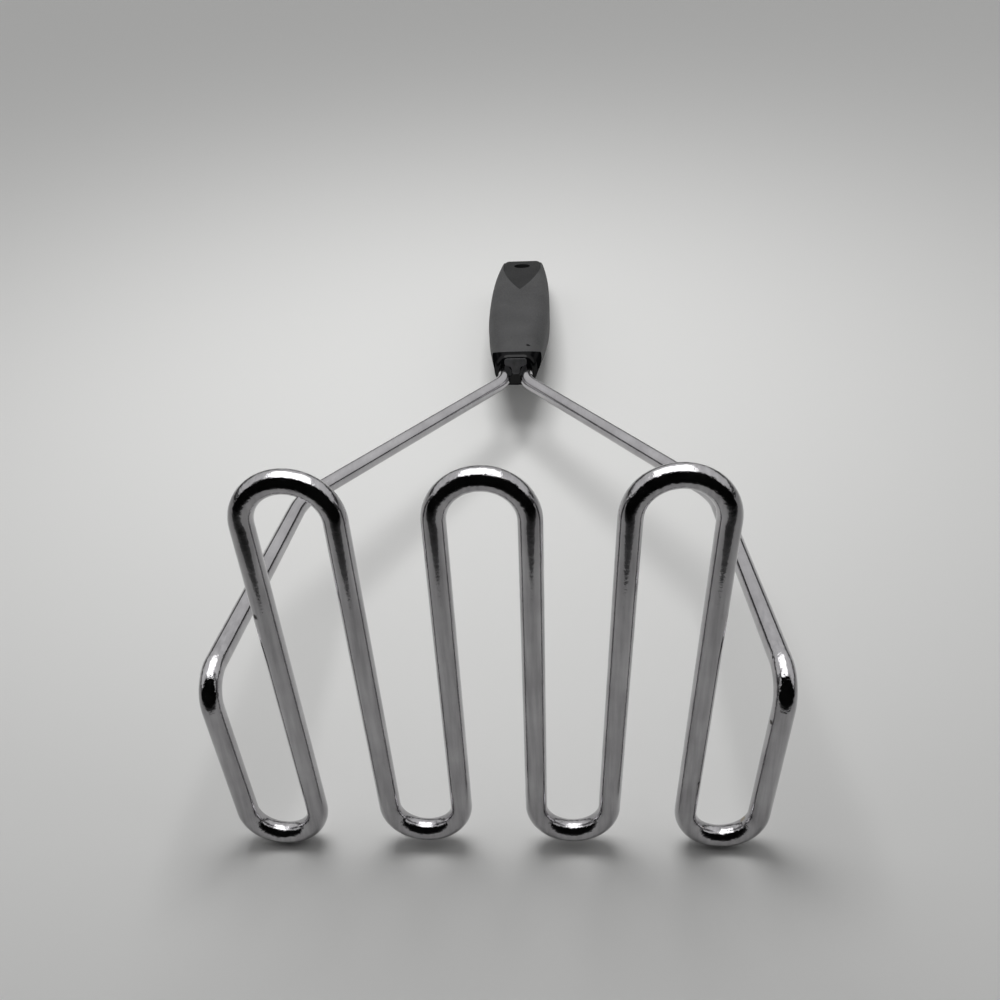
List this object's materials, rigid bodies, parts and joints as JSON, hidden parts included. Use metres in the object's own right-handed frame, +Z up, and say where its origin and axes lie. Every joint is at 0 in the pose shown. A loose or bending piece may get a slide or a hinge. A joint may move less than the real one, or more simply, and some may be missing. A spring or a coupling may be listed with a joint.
{
  "type": "potato masher",
  "caption": "Hand potato masher: one bent chromed wire forms a zigzag mashing head and two legs that run into a soft oval grip with a hanging hole.",
  "frame": {"origin": "on the table, below the middle of the whole masher as it lies", "axes": "+Z up, +Y from the mashing head towards the handle's hanging end, +X across"},
  "size_m": [0.1256, 0.299, 0.0978],
  "materials": {
    "chromed_wire": "bright chrome plate on steel wire",
    "core_plastic": "satin charcoal hard plastic",
    "collar_plastic": "glossy black hard plastic",
    "soft_grip": "matte dark grey soft-touch rubber"
  },
  "bodies": {
    "root": {"mashing_wire": "chromed_wire", "handle_core": "core_plastic", "neck_collar": "collar_plastic", "grip_sleeve": "soft_grip"}
  },
  "joints": []
}
